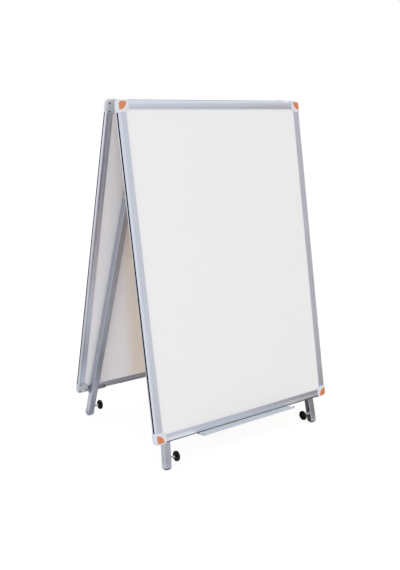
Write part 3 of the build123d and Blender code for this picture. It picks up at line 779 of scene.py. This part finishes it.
def add_lamps(settings):
    """A soft sun from the upper left, in front, which only matt surfaces show."""
    data = bpy.data.lights.new("key", "SUN")
    data.energy = settings.key_strength
    data.angle = settings.key_softness
    lamp = bpy.data.objects.new("key", data)
    lamp.matrix_world = settings.key_direction.to_track_quat("-Z", "Y").to_matrix().to_4x4()
    lamp.visible_glossy = False
    bpy.context.scene.collection.objects.link(lamp)


def unshaded_material(name):
    """A material with an empty node tree."""
    material = bpy.data.materials.new(name)
    material.use_nodes = True
    material.node_tree.nodes.clear()
    return material, material.node_tree


def card_paint(name, shade):
    """An even glow of one shade."""
    material, tree = unshaded_material(name)
    light = add_node(tree, "ShaderNodeEmission", {"Color": (*shade, 1)})
    add_node(tree, "ShaderNodeOutputMaterial", {"Surface": light.outputs[0]})
    return material


def add_card(name, corner, first_side, second_side, shade):
    """A card of one shade that only reflections show."""
    mesh = bmesh.new()
    start, first, second = Vector(corner), Vector(first_side), Vector(second_side)
    bmesh.ops.create_grid(mesh, x_segments=1, y_segments=1, size=0.5)
    turn = Matrix((first, second, first.cross(second))).transposed().to_4x4()
    place = Matrix.Translation(start + (first + second) / 2) @ turn
    bmesh.ops.transform(mesh, matrix=place, verts=mesh.verts)
    card = new_object(mesh, name, card_paint(name, shade))
    card.visible_camera = False
    card.visible_diffuse = False
    card.visible_transmission = False
    card.visible_shadow = False


def add_cards():
    """Glowing cards, a painted reflection of the floor's shadow and of a darker room to the right."""
    for name, (left, front, height, width, depth, shade) in FLOOR_CARDS.items():
        add_card(name, (left, front, height), (width, 0, 0), (0, depth, 0), shade)
    for name, (corner, lower_side, shade) in STANDING_CARDS.items():
        add_card(name, corner, lower_side, (0, 0, STANDING_CARD_HEIGHT), shade)


def add_floor(settings):
    """A pale floor that keeps the easel's shadow."""
    mesh = bmesh.new()
    bmesh.ops.create_grid(mesh, x_segments=1, y_segments=1, size=FLOOR_HALF_WIDTH)
    bmesh.ops.translate(mesh, vec=(0, 0, cad_bounds[0][2] - SKIN), verts=mesh.verts)
    floor = new_object(mesh, "floor", floor_paint(settings))


def floor_paint(settings):
    """White that takes a faint shadow where it is seen, and sends back more light elsewhere."""
    material, tree = unshaded_material("floor_white")
    direct = seen_directly(tree)
    albedo = ramp(tree, direct, low=settings.floor_bounce, high=settings.floor_shade)
    diffuse = add_node(tree, "ShaderNodeBsdfDiffuse", {"Color": albedo})
    strength = maths(tree, "MULTIPLY", direct, settings.floor_glow)
    light = add_node(tree, "ShaderNodeEmission", {"Strength": strength})
    both = add_node(tree, "ShaderNodeAddShader", {0: diffuse.outputs[0], 1: light.outputs[0]})
    add_node(tree, "ShaderNodeOutputMaterial", {"Surface": both.outputs[0]})
    return material


class EASEL_OT_frames(bpy.types.Operator):
    """Finish the frames' extrusions"""

    bl_idname = "easel.frames"
    bl_label = "Frames"

    def execute(self, context):
        base = context.scene.easel_finishes.frame_metal
        painted_light = context.scene.easel_marks
        for board in BOARDS:
            place = board_place(board)
            half_width, half_height, face = board_reach(board)
            across, up = place.col[0].to_3d(), place.col[1].to_3d()
            upright = (place, "X", half_width, face, FRAME_PAINTED_TONES["stile"], painted_light)
            name = f"anodised_stile_{board}"
            stile = drawn_metal(name, base, up, FRAME_ROUGHNESS, frame_side=upright)
            for end in ("top", "bottom"):
                level = (place, "Y", half_height, face, FRAME_PAINTED_TONES[end], painted_light)
                name = f"anodised_{end}_{board}"
                rail = drawn_metal(name, base, across, FRAME_ROUGHNESS, frame_side=level)
                dress(f"{board}_{end}_rail", rail)
            for side in SIDES:
                dress(f"{board}_{side}_stile", stile)
        return {"FINISHED"}


def board_reach(board):
    """How far a board's frame reaches from the middle of its writing sheet: X, Y and Z."""
    place = board_place(board)
    corners = corners_of(f"{board}_top_rail", place) + corners_of(f"{board}_left_stile", place)
    half_width = max(abs(corner.x) for corner in corners)
    half_height = max(abs(corner.y) for corner in corners)
    return half_width, half_height, max(corner.z for corner in corners)


class EASEL_OT_panels(bpy.types.Operator):
    """Finish the writing sheets, cores and backing sheets"""

    bl_idname = "easel.panels"
    bl_label = "Panels"

    def execute(self, context):
        finishes = context.scene.easel_finishes
        sheet = enamel("white_enamel", finishes.enamel)
        core = fibreboard("fibreboard", finishes.core)
        for board in BOARDS:
            dress(f"{board}_writing_sheet", sheet)
            dress(f"{board}_core_panel", core)
            place = board_place(board)
            shades = (finishes.backing, finishes.backing_painted_warmth)
            foil = coated_foil(f"coated_foil_{board}", *shades, place, context.scene.easel_marks)
            dress(f"{board}_back_sheet", foil)
        return {"FINISHED"}


class EASEL_OT_corners(bpy.types.Operator):
    """Finish the corner caps and their badges"""

    bl_idname = "easel.corners"
    bl_label = "Corners"

    def execute(self, context):
        finishes = context.scene.easel_finishes
        badge = gloss_plastic("badge_plastic", finishes.badge_plastic)
        for board in BOARDS:
            # Each board's caps get painted shade on their backs
            back = (board_place(board), context.scene.easel_marks)
            name = f"cap_plastic_{board}"
            plastic = moulded_plastic(name, finishes.cap_plastic, roughness=0.42, back=back)
            dress(f"{board}_corner_caps", plastic)
            add_badges(board, badge, context.scene.easel_hardware)
        return {"FINISHED"}


def add_badges(board, material, sizes):
    """Crowned badges, each on the outline of a solid of the frame's node."""
    node = f"{board}_corner_inserts"
    place = board_place(board)
    mesh = bmesh.new()
    for local in solids(node, place):
        centre, half = middle(local)
        back, front = centre.z - half.z, centre.z + half.z
        outline = [point for point in local if point.z < back + HAIR / 10]
        outline.sort(key=lambda point: (point - centre).xy.angle_signed(Vector((1, 0))))
        crowned_plate(mesh, place, outline, centre, front, sizes)
    body = f"{board}_board"
    finish_piece(mesh, f"{board}_crowned_badges", material, body, [node])


def crowned_plate(mesh, place, outline, centre, front, sizes):
    """A plate on an outline, with a rounded rim and a crowned face.

    Each step of the rim and of the dome has its share of the outline and of the height.
    """
    rim = ((1, 1), (0.97, 0.3), (0.93, 0))
    dome = ((0.8, 0.35), (0.55, 0.7), (0.25, 0.95))
    steps = [(part, front - drop * sizes.badge_rim) for part, drop in rim]
    steps += [(part, front + rise * sizes.badge_dome) for part, rise in dome]
    made = [mesh.verts.new(point) for point in outline]
    face = mesh.faces.new(made)
    previous = 1
    for part, height in steps:
        face = bmesh.ops.extrude_discrete_faces(mesh, faces=[face])["faces"][0]
        for vert in face.verts:
            vert.co.xy = centre.xy + (vert.co.xy - centre.xy) * part / previous
            vert.co.z = height
        previous = part
        made += list(face.verts)
    bmesh.ops.transform(mesh, matrix=place, verts=made)


class EASEL_OT_screws(bpy.types.Operator):
    """Make the screws of the corner caps and brackets, with cross recesses"""

    bl_idname = "easel.screws"
    bl_label = "Screws"

    def execute(self, context):
        sizes = context.scene.easel_hardware
        finishes = context.scene.easel_finishes
        black = plated_steel("blackened_steel", finishes.dark_steel, roughness=0.42, darkest=0.8)
        grey = plated_steel("dull_zinc_steel", finishes.dull_steel, roughness=0.4, darkest=0.85)
        for board in BOARDS:
            add_screws(board, "corner_screws", black, sizes)
            add_screws(board, "bracket_screws", grey, sizes)
        return {"FINISHED"}


def add_screws(board, group, steel, sizes):
    """The screws of one group, each in place of a solid of the frame's node."""
    node = f"{board}_{group}"
    place = board_place(board)
    mesh = bmesh.new()
    for local in solids(node, place):
        centre, half = middle(local)
        back = min(point.z for point in local)
        radius = half.x
        rim = [point.z for point in local if (point.xy - centre.xy).length > radius - HAIR]
        height = max(rim) - back
        shank = [point for point in local if point.z > max(rim) + HAIR / 10]
        shank_radius = max((point.xy - centre.xy).length for point in shank)
        spot = Matrix.Translation((centre.x, centre.y, max(rim))) @ Matrix.Rotation(pi, 4, "X")
        cross_head(mesh, place @ spot, radius, height, shank_radius, 2 * half.z - height, sizes)
    finish_piece(mesh, f"{node}_crossed", steel, f"{board}_board", [node])


class EASEL_OT_legs(bpy.types.Operator):
    """Finish the legs: tubes, plugs, rivets, bosses and feet"""

    bl_idname = "easel.legs"
    bl_label = "Legs"

    def execute(self, context):
        finishes = context.scene.easel_finishes
        black = moulded_plastic("plug_plastic", finishes.black_plastic, roughness=0.45)
        steel = plated_steel("zinc_steel", finishes.bright_steel, roughness=0.28)
        rubber = moulded_rubber("foot_rubber", finishes.rubber)
        for board in BOARDS:
            for side in SIDES:
                down = joints[f"{board}_{side}_leg_slide"]["axis"]
                leg = f"{board}_{side}"
                finish = {"roughness": 0.4, "line": 1.2 * MM}
                outer = drawn_metal(f"leg_metal_{leg}", finishes.leg_metal, down, **finish)
                finish = {"roughness": 0.3, "line": 0.7 * MM}
                inner = drawn_metal(f"inner_metal_{leg}", finishes.inner_metal, down, **finish)
                dress(f"{leg}_leg_tube", outer)
                dress(f"{leg}_inner_tube", inner)
                dress(f"{leg}_foot", rubber)
            dress(f"{board}_tube_plugs", black)
            dress(f"{board}_leg_rivets", steel)
            dress(f"{board}_clamp_bosses", steel)
        return {"FINISHED"}


class EASEL_OT_knobs(bpy.types.Operator):
    """Make the clamp knobs and their threaded studs"""

    bl_idname = "easel.knobs"
    bl_label = "Knobs"

    def execute(self, context):
        finishes = context.scene.easel_finishes
        sizes = context.scene.easel_hardware
        finish = {"roughness": 0.3, "specular": 0.2}
        black = moulded_plastic("knob_plastic", finishes.black_plastic, **finish)
        steel = plated_steel("stud_steel", finishes.bright_steel, roughness=0.25)
        for board in BOARDS:
            for side in SIDES:
                add_knob(f"{board}_{side}", black, sizes)
                add_stud(f"{board}_{side}", steel, sizes)
        return {"FINISHED"}


def on_axis(node, joint):
    """A place with Z along a joint's axis, and a node's lowest and highest point and radius in it."""
    place = Matrix.Translation(joint["pos_m"]) @ turn_along(joint["axis"]).to_4x4()
    corners = corners_of(node, place)
    heights = [corner.z for corner in corners]
    return place, min(heights), max(heights), max(corner.xy.length for corner in corners)


def add_knob(leg, material, sizes):
    """A fluted grip with a dished face and a hollow back, on a short hub."""
    node = f"{leg}_knob_grip"
    place, low, high, radius = on_axis(node, joints[f"{leg}_knob_turn"])
    mesh = bmesh.new()
    profile = knob_profile(low, high, radius, sizes)
    flutes = {"flutes": sizes.grip_flutes, "flute_depth": sizes.flute_depth}
    turned_form(mesh, profile, place, segments=120, **flutes)
    finish_piece(mesh, f"{leg}_fluted_knob", material, f"{leg}_knob", [node])


def knob_profile(low, high, radius, sizes):
    """A knob's profile from its hub's end to the middle of its face, for turned_form."""
    hub, edge = sizes.hub_radius, sizes.grip_edge
    back = high - sizes.grip_thickness
    hollow = back + sizes.dish_depth
    chamfer, flare, lean = 0.5 * MM, 1.0 * MM, 0.3 * MM
    turn_in, turn_up = 0.4 * edge, 0.3 * edge
    ring_outside = radius - sizes.ring_width
    ring_inside = ring_outside - sizes.ring_width
    ring_floor = high - sizes.ring_depth
    on_hub = (
        (hub - chamfer, low), (hub, low + chamfer), (hub, back - flare), (hub + flare, back),
        (sizes.dish_start, back), (sizes.dish_start + lean, hollow),
        (sizes.dish_end - lean, hollow), (sizes.dish_end, back),
    )
    on_rim = (
        (radius - edge, back, 0.6), (radius - turn_in, back + turn_up, 1), (radius, back + edge, 1),
        (radius, high - edge, 1), (radius - turn_in, high - turn_up, 1), (radius - edge, high, 0.6),
        (ring_outside + flare, high, 0.2),
    )
    on_face = (
        (ring_outside, ring_floor), (ring_inside, ring_floor),
        (ring_inside - flare, high - sizes.ring_depth / 2),
        (2 * flare, high - sizes.ring_depth / 4),
    )
    return on_hub + on_rim + on_face


def add_stud(leg, material, sizes):
    """A threaded stud with chamfered ends. Each turn has a flat root and a narrow crest."""
    node = f"{leg}_knob_stud"
    place, low, high, radius = on_axis(node, joints[f"{leg}_knob_turn"])
    root = radius - sizes.thread_depth
    pitch, chamfer = sizes.thread_pitch, sizes.stud_chamfer
    profile = [(root - chamfer, low), (root, low + chamfer)]
    for turn in range(int((high - low) / pitch) - 1):
        start = low + (turn + 0.5) * pitch
        profile += [(root, start), (radius, start + 0.45 * pitch), (radius, start + 0.55 * pitch)]
    profile += [(root, high - chamfer), (root - chamfer, high)]
    mesh = bmesh.new()
    turned_form(mesh, profile, place, segments=20)
    finish_piece(mesh, f"{leg}_threaded_stud", material, f"{leg}_knob", [node])


class EASEL_OT_hinges(bpy.types.Operator):
    """Finish the brackets, saddles and hinge pins"""

    bl_idname = "easel.hinges"
    bl_label = "Hinges"

    def execute(self, context):
        finishes = context.scene.easel_finishes
        nylon = moulded_plastic("bracket_nylon", finishes.bracket_plastic, roughness=0.5)
        steel = plated_steel("pin_steel", finishes.bright_steel, roughness=0.3)
        for board in BOARDS:
            dress(f"{board}_top_brackets", nylon)
            dress(f"{board}_lower_saddles", nylon)
        dress("hinge_pins", steel)
        return {"FINISHED"}


class EASEL_OT_trays(bpy.types.Operator):
    """Finish the pen trays and their ends"""

    bl_idname = "easel.trays"
    bl_label = "Trays"

    def execute(self, context):
        finishes = context.scene.easel_finishes
        painted_light = context.scene.easel_marks
        plastic = moulded_plastic("tray_plastic", finishes.tray_plastic, roughness=0.45)
        for board in BOARDS:
            tray = f"{board}_pen_tray"
            place = board_place(board)
            reach = max(corner.z for corner in corners_of(tray, place))
            coat = powder_coat(f"tray_coat_{board}", finishes.tray_coat, place, reach, painted_light)
            dress(tray, coat)
            dress(f"{board}_tray_end_caps", plastic)
        return {"FINISHED"}


class EASEL_PT_sidebar(bpy.types.Panel):
    """The easel's steps and settings"""

    bl_idname = "EASEL_PT_sidebar"
    bl_label = "Easel"
    bl_space_type = "VIEW_3D"
    bl_region_type = "UI"
    bl_category = "Easel"

    def draw(self, context):
        for operator in OPERATORS:
            self.layout.operator(operator.bl_idname)
        for settings in SETTINGS:
            group = getattr(context.scene, settings)
            box = self.layout.box()
            for name in group.__annotations__:
                box.prop(group, name)


SETTINGS = {
    "easel_finishes": EaselFinishes,
    "easel_hardware": EaselHardware,
    "easel_marks": EaselPaintedLight,
    "easel_stage": EaselStage,
}
OPERATORS = (
    EASEL_OT_stage, EASEL_OT_frames, EASEL_OT_panels, EASEL_OT_corners, EASEL_OT_screws,
    EASEL_OT_legs, EASEL_OT_knobs, EASEL_OT_hinges, EASEL_OT_trays,
)


def register():
    for group in SETTINGS.values():
        bpy.utils.register_class(group)
    for name, group in SETTINGS.items():
        setattr(bpy.types.Scene, name, PointerProperty(type=group))
    for operator in OPERATORS:
        bpy.utils.register_class(operator)
    bpy.utils.register_class(EASEL_PT_sidebar)


def unregister():
    bpy.utils.unregister_class(EASEL_PT_sidebar)
    for operator in reversed(OPERATORS):
        bpy.utils.unregister_class(operator)
    for name in SETTINGS:
        delattr(bpy.types.Scene, name)
    for group in reversed(SETTINGS.values()):
        bpy.utils.unregister_class(group)


def main():
    """Build the whole easel."""
    register()
    for operator in OPERATORS:
        group, name = operator.bl_idname.split(".")
        getattr(getattr(bpy.ops, group), name)()


if __name__ == "__main__":
    main()
